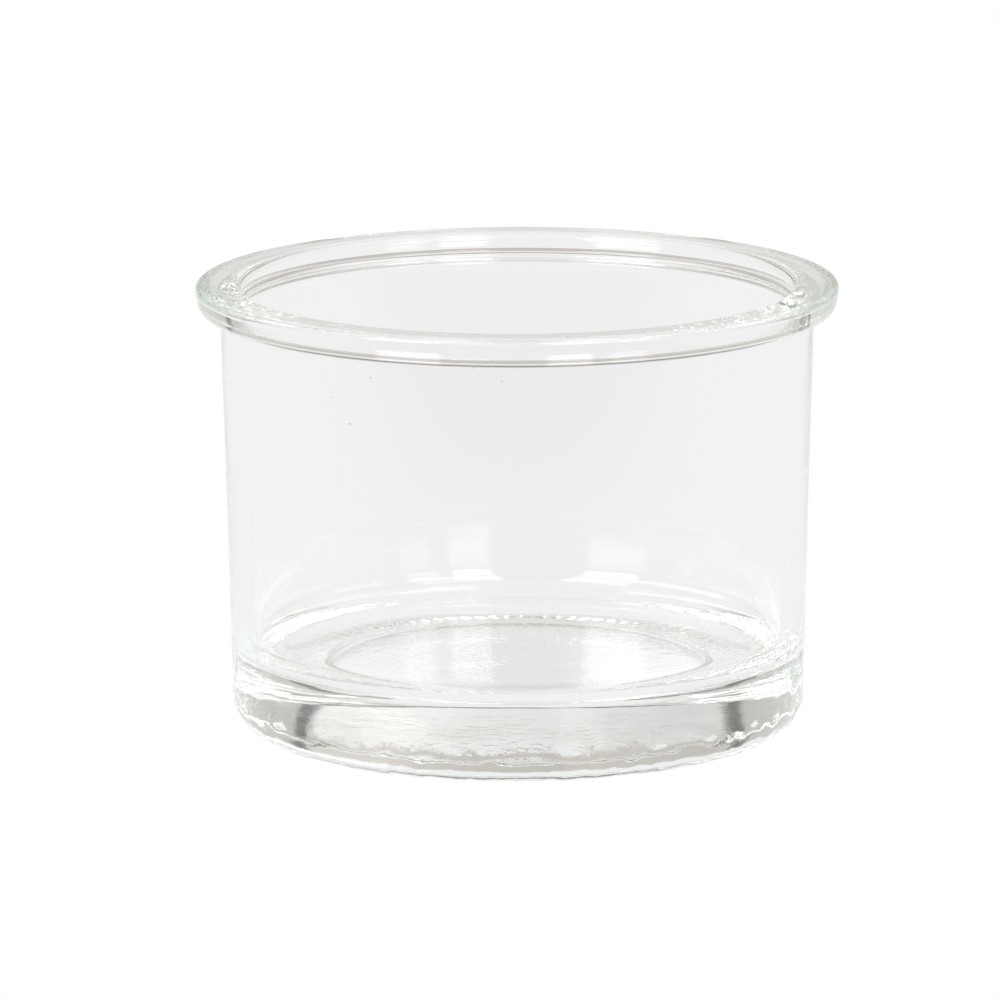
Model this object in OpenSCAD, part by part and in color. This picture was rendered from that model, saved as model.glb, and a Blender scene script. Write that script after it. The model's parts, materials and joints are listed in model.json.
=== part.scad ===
// Tealight holder: one piece of clear pressed glass.
// It is a nearly straight cup with a flat flange round its rim and a thick base. Underneath,
// a recess keeps the middle of the base off the table, and the ring that the glass stands on
// is knurled with short radial bars, as the bottom plate of the mould leaves them.
// Millimetres, +Z up. The origin is the centre of the foot, on the surface it stands on.

/* [Body] */
// Overall height, from the surface it stands on to the top of the rim
total_h = 63.4; // [50:0.1:90]
// Outer diameter of the wall, level with the top of the rim
body_d = 83; // [75:0.1:110]
// Draft of the outer wall in degrees, so that the glass leaves the mould
body_draft = 1.45; // [0:0.05:2]
// Rounding of the outer edge of the foot
foot_r = 5.2; // [2:0.1:6]

/* [Cup] */
// Thickness of the wall, level with the top of the rim
wall_t = 2.9; // [2:0.1:4.5]
// Draft of the inside of the cup in degrees, so that the plunger leaves the glass
cup_draft = 1.9; // [0:0.1:3]
// Thickness of the glass from the standing surface to the floor of the cup
base_t = 11; // [8:0.1:20]
// Rounding between the wall and the floor of the cup
cup_corner_r = 4.5; // [1:0.1:8]

/* [Rim flange] */
// How far the flange stands out past the wall
flange_out = 3.5; // [3:0.1:6]
// Height of the flange
flange_t = 4; // [3.3:0.1:5]
// Draft of the flange's outer face in degrees, so that it narrows downwards
flange_draft = 9.5; // [0:0.5:10]
// Rounding of the flange's upper outer edge
flange_top_r = 0.7; // [0.3:0.1:1.1]
// Rounding of the flange's lower outer edge
flange_under_r = 1.9; // [0.5:0.1:2]
// Rounding of the inner lip
lip_r = 0.9; // [0.3:0.1:1.2]
// Fillet between the underside of the flange and the wall
flange_fillet_r = 0.5; // [0.2:0.1:0.5]

/* [Base] */
// Width of the standing ring, between the rounding of the foot and the recess
ring_w = 7.4; // [5.5:0.1:12]
// Depth of the recess, from the standing surface
recess_h = 2.5; // [0.6:0.1:4]
// Width of the sloping edge of the recess
recess_slope = 0.8; // [0.3:0.1:2]

/* [Knurling] */
// Number of bars round the standing ring
bar_count = 90; // [40:1:100]
// Length of a bar, along the radius
bar_len = 3; // [1.5:0.1:5.5]
// Width of a bar
bar_w = 1.1; // [0.6:0.1:1.3]
// Height of a bar, which is how far the ring between the bars stays off the table
bar_h = 0.2; // [0.1:0.05:0.5]
// Plain margin between the outer ends of the bars and the rounding of the foot
bar_margin = 1; // [0.3:0.1:1.5]

/* [Hidden] */
$fn = 180;
GLASS = [0.80, 0.86, 0.83, 0.45];
CUT = 1;             // how far a shape runs past the face that it opens or joins

// Radius of the wall's outside and of the cup's inside at height z
function body_r(z) = body_d / 2 - (total_h - z) * tan(body_draft);
function cup_r(z) = body_d / 2 - wall_t - (total_h - z) * tan(cup_draft);

flange_r = body_d / 2 + flange_out;
flange_z = total_h - flange_t;
flange_low_r = flange_r - flange_t * tan(flange_draft);
ring_out_r = body_r(0) - foot_r;
ring_in_r = ring_out_r - ring_w;
recess_r = ring_in_r - recess_slope;
bar_out_r = ring_out_r - bar_margin;
bar_in_r = bar_out_r - bar_len;

function heading(a) = [cos(a), sin(a)];

// The sliver between a sharp corner p and an arc of radius r that touches both of its sides.
// The sides leave the corner at headings a and b. Taken away from an outside corner it is a
// rounding, and added to an inside corner it is a fillet. It runs past the corner, so that it
// overlaps what it joins and no hairline gap is left along a side.
module corner_sliver(p, a, b, r) {
    half = abs(b - a) / 2;
    reach = r / tan(half);
    inward = heading((a + b) / 2);
    centre = p + inward * r / sin(half);
    difference() {
        polygon([p - inward * CUT, p + heading(a) * reach, centre, p + heading(b) * reach]);
        translate(centre) circle(r = r);
    }
}

// Half section of the glass before the plunger opens the cup
module blank_section() {
    difference() {
        union() {
            polygon([[0, bar_h], [body_r(bar_h), bar_h], [body_r(total_h), total_h], [0, total_h]]);
            polygon([[0, flange_z], [flange_low_r, flange_z], [flange_r, total_h], [0, total_h]]);
            corner_sliver([body_r(flange_z), flange_z], 0, -90 - body_draft, flange_fillet_r);
        }
        corner_sliver([body_r(bar_h), bar_h], 90 - body_draft, 180, foot_r);
        corner_sliver([flange_r, total_h], 180, 270 - flange_draft, flange_top_r);
        corner_sliver([flange_low_r, flange_z], 90 - flange_draft, 180, flange_under_r);
    }
}

// Half section of the cup: the shape of the plunger that presses it
module cup_section() {
    difference() {
        polygon([
            [0, base_t],
            [cup_r(base_t), base_t],
            [cup_r(total_h + CUT), total_h + CUT],
            [0, total_h + CUT]
        ]);
        corner_sliver([cup_r(base_t), base_t], 90 - cup_draft, 180, cup_corner_r);
    }
    corner_sliver([cup_r(total_h), total_h], 0, -90 - cup_draft, lip_r);
}

// Half section of the recess under the base
module recess_section() {
    polygon([[0, 0], [ring_in_r, 0], [ring_in_r, bar_h], [recess_r, recess_h], [0, recess_h]]);
}

// Short radial bars with flat tops, which the glass stands on
module knurling() {
    for (i = [0:bar_count - 1]) {
        rotate([0, 0, i * 360 / bar_count])
            translate([bar_in_r, -bar_w / 2, 0])
                cube([bar_len, bar_w, 2 * bar_h]);
    }
}

module glass_body() {
    color(GLASS)
        union() {
            rotate_extrude()
                difference() {
                    blank_section();
                    cup_section();
                    recess_section();
                }
            knurling();
        }
}

glass_body();
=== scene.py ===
# %% [markdown]
# # Tealight holder in clear pressed glass
# The real thing is one gob of soda-lime glass, pressed in an iron mould. The mould gives the
# outside, a plunger gives the cup, and a bottom plate with short radial cuts gives the knurled
# ring that it stands on. Everything that the eye sees in it is light bent by those surfaces,
# so this scene spends its effort on the true thickness of the glass and on how smooth or
# uneven each surface is. The studio is a room painted on the world and a glowing floor with
# painted shade and painted caustic light.

# %% Load the imported model as the frame
import json
import math

import bmesh
import bpy
from mathutils import Matrix, Vector, noise


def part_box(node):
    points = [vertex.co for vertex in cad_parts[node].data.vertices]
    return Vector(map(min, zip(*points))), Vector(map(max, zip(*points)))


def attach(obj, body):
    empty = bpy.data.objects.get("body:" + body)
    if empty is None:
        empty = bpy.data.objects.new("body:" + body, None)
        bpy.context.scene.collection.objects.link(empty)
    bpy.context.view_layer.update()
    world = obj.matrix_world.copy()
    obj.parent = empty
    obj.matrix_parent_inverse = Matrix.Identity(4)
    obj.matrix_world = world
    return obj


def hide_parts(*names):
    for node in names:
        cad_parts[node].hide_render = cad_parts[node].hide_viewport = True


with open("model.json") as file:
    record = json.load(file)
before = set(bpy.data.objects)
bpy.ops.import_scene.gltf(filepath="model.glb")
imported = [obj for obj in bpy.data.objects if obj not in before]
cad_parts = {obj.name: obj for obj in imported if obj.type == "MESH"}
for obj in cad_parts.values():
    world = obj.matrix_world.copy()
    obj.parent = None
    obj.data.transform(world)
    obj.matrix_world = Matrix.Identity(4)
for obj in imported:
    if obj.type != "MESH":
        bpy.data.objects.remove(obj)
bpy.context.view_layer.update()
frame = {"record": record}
MM = 0.001

# %% [markdown]
# ## Sizes
# The frame gives the rim's radius, the height and the floor of the cup. The rest are the
# design's own sizes, repeated here in millimetres, because a mesh that bends light needs the
# same walls as the solid, only far smoother.

# %% Sizes of the glass, in millimetres
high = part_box("glass_body")[1]
total_h = high.z / MM
mounts = {m["name"]: m for m in frame["record"]["mounts"]}
base_t = mounts["candle_seat"]["pos_m"][2] / MM

flange_out, flange_t, flange_draft = 3.5, 4.0, math.radians(9.5)
wall_t = 2.9
body_draft, cup_draft = math.radians(1.45), math.radians(1.9)
foot_r, cup_corner_r = 5.2, 4.5
flange_top_r, flange_under_r, lip_r, flange_fillet_r = 0.7, 1.9, 0.9, 0.5
ring_w, recess_h, recess_slope = 7.4, 2.5, 0.8
bar_count, bar_len, bar_h, bar_margin = 90, 3.0, 0.2, 1.0
# the box ends at the widest point of the flange's rounded edge, a little inside its sharp corner
rim_r = high.x / MM + flange_top_r * (1 / math.tan(math.pi / 4 - flange_draft / 2) - 1)
wall_top_r = rim_r - flange_out
flange_low_r = rim_r - flange_t * math.tan(flange_draft)


def body_r(z):
    """Radius of the wall's outside at height z."""
    return wall_top_r - (total_h - z) * math.tan(body_draft)


def cup_r(z):
    """Radius of the cup's inside at height z."""
    return wall_top_r - wall_t - (total_h - z) * math.tan(cup_draft)


ring_out_r = body_r(0) - foot_r
ring_in_r = ring_out_r - ring_w
recess_r = ring_in_r - recess_slope
bar_out_r = ring_out_r - bar_margin
bar_in_r = bar_out_r - bar_len
print(f"rim {2 * rim_r:.1f} mm, height {total_h:.1f} mm, base {base_t:.1f} mm, recess {2 * recess_r:.1f} mm")

# %% [markdown]
# ## The half section
# A glass-maker draws a half section and turns it, and a Spin does the same. The section starts
# as a chain of corner points. Each corner is rounded with a vertex bevel, whose offset is the
# distance from the corner to where the arc begins: radius / tan(half the corner's angle).
# Long straights are then divided, so that the surface can undulate later.

# %% Draw and round the half section
STEPS_PER_BAR = 4
BAR_END = 0.6        # length of a bar's sloping end, in mm
steps = bar_count * STEPS_PER_BAR


def chain(bm, corners):
    """Joins the corners (r, z in mm) with edges and returns the vertices."""
    made = [bm.verts.new((r * MM, 0, z * MM)) for r, z in corners]
    for start, end in zip(made, made[1:]):
        bm.edges.new((start, end))
    return made


def round_corner(bm, corner, radius, segments):
    """Rounds one corner of the chain with an arc of that radius, in millimetres."""
    one_side, other_side = [e.other_vert(corner).co - corner.co for e in corner.link_edges]
    reach = radius * MM / math.tan(one_side.angle(other_side) / 2)
    bmesh.ops.bevel(bm, geom=[corner], offset=reach, offset_type="OFFSET", affect="VERTICES",
                    segments=segments, profile=0.5, material=-1)


def divide_straights(bm, spacing):
    """Divides the long straights of the chain into steps of about that many millimetres."""
    while straight := [e for e in bm.edges if e.calc_length() > 1.5 * spacing * MM]:
        cuts = round(straight[0].calc_length() / (spacing * MM)) - 1
        bmesh.ops.subdivide_edges(bm, edges=straight[:1], cuts=cuts)


glass = bmesh.new()
corners = chain(glass, [
    (0, recess_h),
    (recess_r, recess_h),
    (ring_in_r, bar_h),
    (bar_in_r, bar_h),
    (bar_in_r + BAR_END, bar_h),
    (bar_out_r - BAR_END, bar_h),
    (bar_out_r, bar_h),
    (body_r(bar_h), bar_h),
    (body_r(total_h - flange_t), total_h - flange_t),
    (flange_low_r, total_h - flange_t),
    (rim_r, total_h),
    (cup_r(total_h), total_h),
    (cup_r(base_t), base_t),
    (0, base_t),
])
# corner number: (radius in mm, segments of its arc)
rounding = {
    1: (0.3, 3), 2: (0.3, 3), 7: (foot_r, 18), 8: (flange_fillet_r, 4), 9: (flange_under_r, 10),
    10: (flange_top_r, 8), 11: (lip_r, 8), 12: (cup_corner_r, 14),
}
for index, (radius, segments) in rounding.items():
    round_corner(glass, corners[index], radius, segments)
divide_straights(glass, 1.6)
print("points in the half section:", len(glass.verts))

# %% [markdown]
# ## The spin
# Four steps to each bar of the knurling make the round smooth and let a bar be two steps wide.
# The two ends of the chain lie on the axis, so the spin makes stacks of doubled points there.
# Merging them closes both poles.

# %% Spin the section into a closed body
bmesh.ops.spin(glass, geom=glass.verts[:] + glass.edges[:], cent=(0, 0, 0), axis=(0, 0, 1),
               dvec=(0, 0, 0), angle=2 * math.pi, steps=steps, use_merge=True, use_normal_flip=False,
               use_duplicate=False)
bmesh.ops.remove_doubles(glass, verts=glass.verts[:], dist=1e-7)
bmesh.ops.recalc_face_normals(glass, faces=glass.faces[:])
print("faces:", len(glass.faces), "open edges:", sum(not e.is_manifold for e in glass.edges))

# %% [markdown]
# ## The knurling
# The mould's bottom plate is cut with short radial grooves, which press these bars into the
# standing ring. They stop the flat glass from sticking to a wet table. Glass doesn't fill a
# groove sharply, so each bar is a rounded crest: of its four steps, one is pressed right down to
# the table, its two neighbours half way, and the fourth not at all. The ends slope off.

# %% Press the bars
step_angle = 2 * math.pi / steps
PRESSED = (1, 0.5, 0, 0.5)
crests = 0
for v in glass.verts:
    r = math.hypot(v.co.x, v.co.y) / MM
    if abs(v.co.z / MM - bar_h) < 1e-3 and bar_in_r + 0.1 < r < bar_out_r - 0.1:
        place = round(math.atan2(v.co.y, v.co.x) / step_angle) % STEPS_PER_BAR
        v.co.z -= bar_h * MM * PRESSED[place]
        crests += place == 0
print("bars:", bar_count, "points on the table:", crests)

# %% [markdown]
# ## Uneven surfaces
# Pressed glass copies an iron mould that isn't true, and it shrinks as it chills. The cup, which
# the polished plunger makes, comes out nearly flat. The foot chills first and comes out wavy,
# which is what draws swirls along the lower edge, more so on one side. Each point moves along its
# own normal by a smooth noise, some hundredths of a millimetre on the wall and up to a quarter of
# a millimetre on the foot. The flange and the crests of the bars stay where they are, so the
# height and the width are the true ones.

# %% Undulate the surfaces
WAVES_R = 40                 # radius at which the foot's waves have their true length, in mm
WALL_SWELL = (0.02, 0.03)    # on the wall's inside, and how much more on its outside, in mm
WAVE, FINE_WAVE = 0.11, 0.11 # in mm
ONE_SIDE = 0.8               # how much stronger the foot's waves are towards +X


def blend(x, x0, x1):
    """Goes smoothly from 0 at x0 to 1 at x1."""
    t = min(max((x - x0) / (x1 - x0), 0), 1)
    return t * t * (3 - 2 * t)


def along_foot(turn, across, length, width, start=0):
    """A place in the noise, for waves that are so long round the foot and so wide across it."""
    rounds = WAVES_R / length
    return Vector((rounds * math.cos(turn), rounds * math.sin(turn), start + across / width))


def swell(co):
    """How far the surface at this point stands off its true place, in millimetres."""
    r, z = math.hypot(co.x, co.y) / MM, co.z / MM
    off_table = blend(z, 0.05, 0.4)
    outside = 1 if z < base_t else blend(r, cup_r(z) + 0.3, cup_r(z) + 1.2)
    off_flange = 1 - blend(z, total_h - flange_t - 3, total_h - flange_t)
    off_recess = blend(r, ring_in_r - 4, ring_in_r + 2)
    broad = noise.noise(co / (22 * MM))
    wall = off_flange * (WALL_SWELL[0] + WALL_SWELL[1] * outside) * broad * off_recess
    turn = math.atan2(co.y, co.x)
    waves = noise.variable_lacunarity(along_foot(turn, z - r, 5, 3), 1.2)
    fine = noise.noise(along_foot(turn, z - r, 2.2, 1.6, start=9))
    on_foot = blend(r, ring_out_r - 0.5, ring_out_r + 1) * (1 - blend(z, foot_r + 0.5, foot_r + 2))
    on_foot *= 1 + ONE_SIDE * blend(co.x / MM, 5, 20)
    return off_table * (wall + on_foot * (WAVE * waves + FINE_WAVE * fine))


glass.normal_update()
moves = [(v, v.normal * swell(v.co) * MM) for v in glass.verts]
for v, move in moves:
    v.co += move
print(f"largest swell: {max(m.length for _, m in moves) / MM:.3f} mm")

# %% [markdown]
# ## Seeds
# A few bubbles of gas that never left the melt stay in the wall, a third of a millimetre across.
# Each one is a small closed ball with its faces turned inward, a hollow inside the glass. The
# eye finds them as specks that bend everything behind them to a point.

# %% Place the seeds
# degrees round from the front, height in mm, radius in mm
seeds = [(-29.5, 56.6, 0.17), (-38.6, 53.2, 0.12), (-34.5, 49.8, 0.2), (-3, 57, 0.12), (-8.5, 59, 0.12),
         (97, 44, 0.15), (-158, 22, 0.13), (-112, 39, 0.16), (128, 50, 0.12)]
for turn, z, r in seeds:
    middle = (body_r(z) + cup_r(z)) / 2
    a = math.radians(turn - 90)
    place = Matrix.Translation(Vector((middle * math.cos(a), middle * math.sin(a), z)) * MM)
    ball = bmesh.ops.create_icosphere(glass, subdivisions=2, radius=r * MM, matrix=place)["verts"]
    bmesh.ops.reverse_faces(glass, faces=list({f for v in ball for f in v.link_faces}))
print("seeds:", len(seeds), "faces in all:", len(glass.faces))

# %% [markdown]
# ## The finished mesh
# The bmesh is written to one mesh, whose object stays at the origin. Smooth shading makes the
# fine steps of the spin bend light as one curved surface.

# %% Make the mesh
mesh = bpy.data.meshes.new("glass_cup")
glass.to_mesh(mesh)
glass.free()
mesh.shade_smooth()
glass_cup = bpy.data.objects.new("glass_cup", mesh)
bpy.context.scene.collection.objects.link(glass_cup)
mesh.calc_loop_triangles()
print("triangles:", len(mesh.loop_triangles))

# %% [markdown]
# ## Helpers for the materials
# `linear` turns the sRGB hex colours that people read into the linear ones that Blender works
# in. `add` makes a node, sets it and links it in one line, so a node tree reads like a recipe.
# Smooth Step is the Map Range setting that every mask here uses, to leave no hard edge.

# %% Material helpers
SMOOTH = {"interpolation_type": "SMOOTHSTEP"}


def linear(hex_colour):
    """An sRGB hex colour as linear red, green, blue and alpha."""
    parts = [int(hex_colour[i:i + 2], 16) / 255 for i in (1, 3, 5)]
    return (*[c / 12.92 if c <= 0.04045 else ((c + 0.055) / 1.055) ** 2.4 for c in parts], 1)


def add(tree, kind, **values):
    """Adds a node of that kind and returns it.

    A lower-case value is one of the node's settings, and stops are a colour ramp's own. Any other
    value goes to the input of that name, with _ for a space, or to the one in that place, as _0.
    A node given as a value is linked from its first output, and a socket is linked as it is."""
    node = tree.nodes.new("ShaderNode" + kind)
    for name, value in values.items():
        if name == "stops":
            ramp = node.color_ramp.elements
            ramp.remove(ramp[1])
            for place, (position, colour) in enumerate(value):
                stop = ramp.new(position) if place else ramp[0]
                stop.position = position
                stop.color = colour
        elif name.islower():
            setattr(node, name, value)
        else:
            socket = node.inputs[int(name[1:]) if name[0] == "_" else name.replace("_", " ")]
            source = value.outputs[0] if isinstance(value, bpy.types.Node) else value
            if isinstance(source, bpy.types.NodeSocket):
                tree.links.new(source, socket)
            else:
                socket.default_value = source
    return node


def new_tree(datablock):
    """Empties the node tree of a material or a world, and returns it."""
    datablock.use_nodes = True
    datablock.node_tree.nodes.clear()
    return datablock.node_tree


print("hex #808080 is linear", round(linear("#808080")[0], 3))

# %% [markdown]
# ## Clear soda-lime glass
# Plain window-type glass has an index of refraction of 1.52, and iron in the sand gives it a
# green tint that only shows through a long path, such as edge-on through the base. A volume
# that absorbs a little red and blue does that by itself. The skin isn't the same everywhere:
# the fire-polished wall has a slow ripple of some 6 mm, one side of the flange has the grain of
# the mould's joint, drawn out up and down, and the foot is pitted. A bump carries these, because
# they are hundredths of a millimetre high, too small for the mesh.

# %% Glass material
RIPPLE, GRAIN, PITS = 6, 1.1, 1.8         # from crest to crest, in mm
RIPPLE_HEIGHT = 0.006                     # in mm
GRAIN_HEIGHT, PIT_DEPTH = 4.0, 8.0        # in heights of the ripple


def pressed_glass():
    material = bpy.data.materials.new("clear_soda_lime_glass")
    tree = new_tree(material)
    where = add(tree, "TexCoord").outputs["Object"]
    place = add(tree, "SeparateXYZ", Vector=where)
    height = place.outputs["Z"]
    ripple = add(tree, "TexNoise", Vector=where, Scale=1 / (RIPPLE * MM), Detail=2.0, Roughness=0.45)

    # the grain lies on the side of the flange towards +X, below its top
    drawn_out = add(tree, "Mapping", Vector=where, Scale=(1, 1, 0.3))
    grain = add(tree, "TexNoise", Vector=drawn_out, Scale=1 / (GRAIN * MM), Detail=2.0)
    above_wall = add(tree, "MapRange", **SMOOTH, Value=height, From_Min=(total_h - flange_t - 0.5) * MM,
                     From_Max=(total_h - flange_t + 0.5) * MM)
    below_top = add(tree, "MapRange", **SMOOTH, Value=height, From_Min=(total_h - 0.6) * MM,
                    From_Max=(total_h - 1.6) * MM)
    to_one_side = add(tree, "MapRange", **SMOOTH, Value=place.outputs["X"], From_Min=24 * MM,
                      From_Max=40 * MM, To_Max=GRAIN_HEIGHT)
    for mask in (above_wall, below_top, to_one_side):
        grain = add(tree, "Math", operation="MULTIPLY", _0=grain, _1=mask)

    pits = add(tree, "TexNoise", Vector=where, Scale=1 / (PITS * MM), Detail=2.0)
    on_foot = add(tree, "MapRange", **SMOOTH, Value=height, From_Min=(foot_r + 2) * MM,
                  From_Max=foot_r * MM, To_Max=PIT_DEPTH)
    pits = add(tree, "Math", operation="MULTIPLY", _0=pits, _1=on_foot)

    relief = add(tree, "Math", operation="ADD", _0=grain, _1=pits)
    relief = add(tree, "Math", operation="ADD", _0=ripple, _1=relief)
    bump = add(tree, "Bump", Strength=1.0, Distance=RIPPLE_HEIGHT * MM, Height=relief)
    # a smooth surface: every reflection in it is sharp, and only the relief breaks it up
    shader = add(tree, "BsdfPrincipled", Base_Color=linear("#FFFFFF"), Roughness=0.0, IOR=1.52,
                 Transmission_Weight=1.0, Normal=bump)
    # the tint grows with the way through the glass: none across the wall, faint along the base
    tint = add(tree, "VolumeAbsorption", Color=linear("#E3F7EC"), Density=1.5)
    add(tree, "OutputMaterial", Surface=shader, Volume=tint)
    return material


glass_cup.data.materials.append(pressed_glass())
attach(glass_cup, "root")
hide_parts("glass_body")
print("materials on the glass:", [m.name for m in glass_cup.data.materials])

# %% [markdown]
# ## The studio floor
# On a bright white sheet, what shows through clear glass is white, and the edges of the glass
# draw themselves in grey. A lit sheet needs lamps, which are slow and noisy through glass, so
# this one glows by itself. It glows at full strength to the camera and dimmer to every other ray,
# through the glass or off its outside: painted shade, 0.89 of full near and behind the glass and
# down to 0.55 further in front. Under the base it has painted shadow in the middle and painted
# caustic light to each side.

# %% Floor
FLOOR_R = 4.0        # in metres, so that it reaches the horizon

floor_mesh = bmesh.new()
bmesh.ops.create_circle(floor_mesh, cap_ends=True, cap_tris=False, segments=96, radius=FLOOR_R)
mesh = bpy.data.meshes.new("white_sweep")
floor_mesh.to_mesh(mesh)
floor_mesh.free()
floor = bpy.data.objects.new("white_sweep", mesh)
bpy.context.scene.collection.objects.link(floor)


def white_sheet_with_painted_shade():
    material = bpy.data.materials.new("white_sheet_with_painted_shade")
    tree = new_tree(material)
    where = add(tree, "TexCoord").outputs["Object"]
    place = add(tree, "SeparateXYZ", Vector=where)
    # painted shade: to every ray but the camera's, 0.89 near and behind the glass, 0.55 further in front
    painted_shade = add(tree, "MapRange", **SMOOTH, Value=place.outputs["Y"], From_Min=-0.25, From_Max=-0.03,
                 To_Min=0.55, To_Max=0.89)
    # painted shadow in the middle under the base, painted caustic light to each side (1.04 left, 1.12 right)
    side = add(tree, "MapRange", **SMOOTH, Value=place.outputs["X"], From_Min=-4 * MM, From_Max=4 * MM,
               To_Min=1.04, To_Max=1.12)
    out_from_middle = add(tree, "Math", operation="ABSOLUTE", _0=place.outputs["X"])
    painted_shadow_and_caustic = add(tree, "MapRange", **SMOOTH, Value=out_from_middle, From_Min=5 * MM, From_Max=16 * MM,
                   To_Min=0.80, To_Max=side)
    radius = add(tree, "VectorMath", operation="LENGTH", _0=where).outputs["Value"]
    under = add(tree, "MapRange", **SMOOTH, Value=radius, From_Min=(ring_in_r + 1) * MM,
                From_Max=(ring_in_r - 1) * MM)
    level = add(tree, "Mix", data_type="FLOAT", _0=under, _2=painted_shade, _3=painted_shadow_and_caustic)
    # the camera alone sees the sheet at full strength; every other ray sees the painted levels
    direct = add(tree, "LightPath").outputs["Is Camera Ray"]
    level = add(tree, "Mix", data_type="FLOAT", _0=direct, _2=level, _3=1.0)
    glow = add(tree, "Emission", Color=linear("#FFFFFF"), Strength=level)
    add(tree, "OutputMaterial", Surface=glow)
    return material


mesh.materials.append(white_sheet_with_painted_shade())
print(f"floor: {2 * FLOOR_R:.0f} m across, material {mesh.materials[0].name}")

# %% [markdown]
# ## The room
# Glass shows the room around it more than itself, bent small into its edges. A modelled room
# would be slow, and only its broad shapes can be made out, so it is a world that follows the
# direction: Z is the sine of the height above the horizon, and +Y is behind the glass. All of
# it stands above the horizon. The far wall has a low brownish band, pale panels over it and a
# dark beam higher up. The near walls are plain, and the ceiling is white.

# %% The room's walls
def grey(level):
    """A grey of that linear level, as a colour."""
    return level, level, level, 1


def wall_colours(tree, rise, facing):
    """The colour of the far wall where facing is 1, and of the near walls where it is 0."""
    far_wall = add(tree, "ValToRGB", Fac=rise, stops=[
        (0.0, linear("#FFFFFF")), (0.012, linear("#D2CCC6")), (0.19, linear("#D2CCC6")),
        (0.21, linear("#EAEAE8")), (0.32, linear("#EAEAE8")), (0.42, linear("#7E776F")),
        (0.62, linear("#7E776F")), (0.85, linear("#F4F4F2"))])
    near_walls = add(tree, "ValToRGB", Fac=rise, stops=[
        (0.0, linear("#FFFFFF")), (0.015, linear("#DEDBD6")), (0.45, linear("#D0CCC6")),
        (0.65, linear("#B4AFA8")), (0.85, linear("#F4F4F2"))])
    return add(tree, "Mix", data_type="RGBA", _0=facing, _6=near_walls, _7=far_wall).outputs[2]


def wall_light(tree, way, facing):
    """How brightly the walls are lit, as a factor."""
    # panels of the far wall from left to right, each a little brighter than the one before
    from_left = add(tree, "Math", operation="ADD", _0=way.outputs["X"], _1=0.5)
    panels = add(tree, "ValToRGB", Fac=from_left, stops=[
        (0.06, grey(0.81)), (0.29, grey(0.93)), (0.31, grey(1.0)), (0.40, grey(1.03)), (0.415, grey(0.965)),
        (0.50, grey(1.0)), (0.61, grey(1.02)), (0.69, grey(1.07)), (0.77, grey(1.14)), (0.83, grey(1.12)),
        (0.95, grey(1.03))])
    panels = add(tree, "Mix", data_type="FLOAT", _0=facing, _2=1.0, _3=panels)
    # dim corners at both ends of the far wall, each behind a narrow dark post
    corners = add(tree, "ValToRGB", Fac=way.outputs["Y"], stops=[
        (0.30, grey(1.0)), (0.45, grey(0.80)), (0.72, grey(0.72)), (0.745, grey(0.2)), (0.775, grey(0.2)),
        (0.80, grey(1.0))])
    up_to_beam = add(tree, "MapRange", **SMOOTH, Value=way.outputs["Z"], From_Min=0.50, From_Max=0.40)
    corners = add(tree, "Mix", data_type="FLOAT", _0=up_to_beam, _2=1.0, _3=corners)
    # something low and dark stands in the middle of the far wall
    from_middle = add(tree, "Math", operation="ADD", _0=way.outputs["X"], _1=-0.06)
    from_middle = add(tree, "Math", operation="ABSOLUTE", _0=from_middle)
    dark = add(tree, "MapRange", **SMOOTH, Value=from_middle, From_Min=0.34, From_Max=0.16)
    low_down = add(tree, "MapRange", **SMOOTH, Value=way.outputs["Z"], From_Min=0.21, From_Max=0.19)
    for mask in (low_down, facing):
        dark = add(tree, "Math", operation="MULTIPLY", _0=dark, _1=mask)
    light = add(tree, "Math", operation="MULTIPLY_ADD", _0=dark, _1=-0.14, _2=1.0)
    for part in (panels, corners):
        light = add(tree, "Math", operation="MULTIPLY", _0=light, _1=part)
    above = add(tree, "MapRange", **SMOOTH, Value=way.outputs["Z"], From_Max=0.02)
    return add(tree, "Mix", data_type="FLOAT", _0=above, _2=1.0, _3=light)


# %% [markdown]
# ## The windows
# Three broad windows stand in front, to the left and right of the camera. The back of the cup and
# its floor mirror them, as soft white patches low in the cup. Each is a pane of light in the same
# world: a band of directions round its middle, cut off at a sill and a lintel.

# %% The room's windows
# degrees round from the front, half the width in degrees, strength
WINDOWS = [(-44, 13, 4.0), (21, 8.5, 4.0), (45, 7, 2.0)]
SILL, LINTEL = 0.12, 0.80


def window(tree, direction, rise, turn, half_width, strength):
    """The light of one window."""
    a = math.radians(turn - 90)
    ahead = add(tree, "VectorMath", operation="DOT_PRODUCT", _0=direction,
                _1=(math.cos(a), math.sin(a), 0)).outputs["Value"]
    aside = add(tree, "VectorMath", operation="DOT_PRODUCT", _0=direction,
                _1=(-math.sin(a), math.cos(a), 0)).outputs["Value"]
    aside = add(tree, "Math", operation="ABSOLUTE", _0=aside)
    edge = math.sin(math.radians(half_width))
    pane = strength
    for value, off, on in ((aside, edge + 0.03, edge - 0.03), (ahead, 0.25, 0.35),
                           (rise, SILL, SILL + 0.05), (rise, LINTEL, LINTEL - 0.06)):
        mask = add(tree, "MapRange", **SMOOTH, Value=value, From_Min=off, From_Max=on)
        pane = add(tree, "Math", operation="MULTIPLY", _0=pane, _1=mask)
    return add(tree, "Background", Color=linear("#FFFFFF"), Strength=pane)


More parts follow.
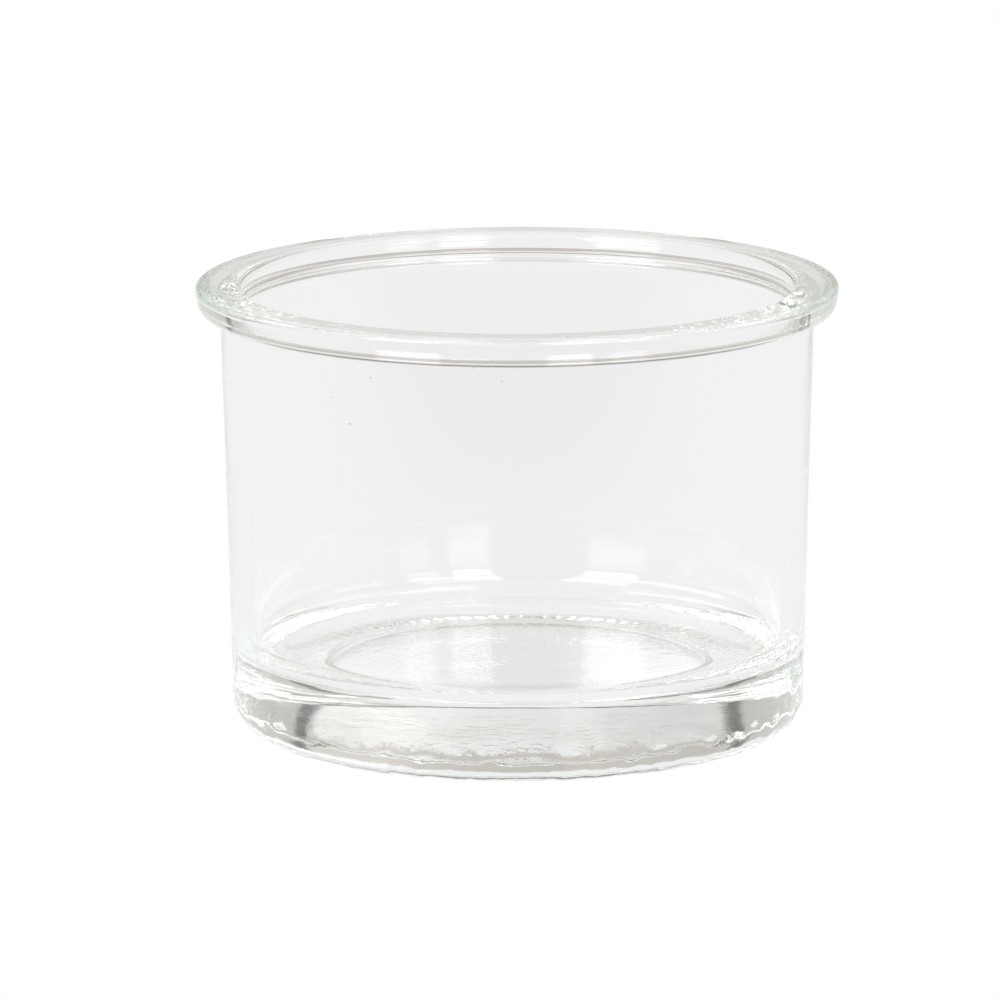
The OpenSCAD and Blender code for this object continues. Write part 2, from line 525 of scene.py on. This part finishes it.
def room():
    world = bpy.data.worlds.new("room")
    tree = new_tree(world)
    direction = add(tree, "TexCoord").outputs["Generated"]
    way = add(tree, "SeparateXYZ", Vector=direction)
    rise = way.outputs["Z"]
    facing = add(tree, "MapRange", **SMOOTH, Value=way.outputs["Y"], From_Min=0.72, From_Max=0.84)
    light = add(tree, "Background", Color=wall_colours(tree, rise, facing),
                Strength=wall_light(tree, way, facing))
    for turn, half_width, strength in WINDOWS:
        light = add(tree, "AddShader", _0=light,
                    _1=window(tree, direction, rise, turn, half_width, strength))
    add(tree, "OutputWorld", Surface=light)
    return world


bpy.context.scene.world = room()
print("windows:", len(WINDOWS), "nodes in the room:", len(bpy.context.scene.world.node_tree.nodes))

# %% [markdown]
# ## The camera
# A long lens from 1.4 m keeps the two sides of the glass nearly parallel, and the eye is just
# high enough to look into the cup. The standard view transform keeps the white floor white.
# Light runs round inside the flange and the foot by total reflection, dozens of times before it
# gets out. Cut off early it would be lost, and the ends of the flange would turn black, so the
# bounces are many.

# %% Camera
DISTANCE = 1.4                                  # in metres
ELEVATION = math.radians(11.6)
ROLL = math.radians(-0.17)
BODY_MIDDLE = Vector((0, 0, 31)) * MM           # what the camera goes round
AIM = Vector((-2.478, 0, 32.37)) * MM           # what it points at
BOUNCES = 160

lens = bpy.data.cameras.new("camera")
lens.sensor_width = 36
lens.lens = 359.7
lens.clip_start = 0.05
lens.clip_end = 20
camera = bpy.data.objects.new("camera", lens)
bpy.context.scene.collection.objects.link(camera)
camera.location = BODY_MIDDLE + DISTANCE * Vector((0, -math.cos(ELEVATION), math.sin(ELEVATION)))
level_view = (AIM - camera.location).to_track_quat("-Z", "Y").to_matrix().to_4x4()
camera.rotation_mode = "QUATERNION"
camera.rotation_quaternion = (level_view @ Matrix.Rotation(ROLL, 4, "Z")).to_quaternion()

scene = bpy.context.scene
scene.camera = camera
scene.view_settings.view_transform = "Standard"
scene.cycles.max_bounces = BOUNCES
scene.cycles.transmission_bounces = BOUNCES
scene.cycles.glossy_bounces = BOUNCES
print("camera at", [round(v, 3) for v in camera.location], "m, lens", round(lens.lens, 1), "mm")
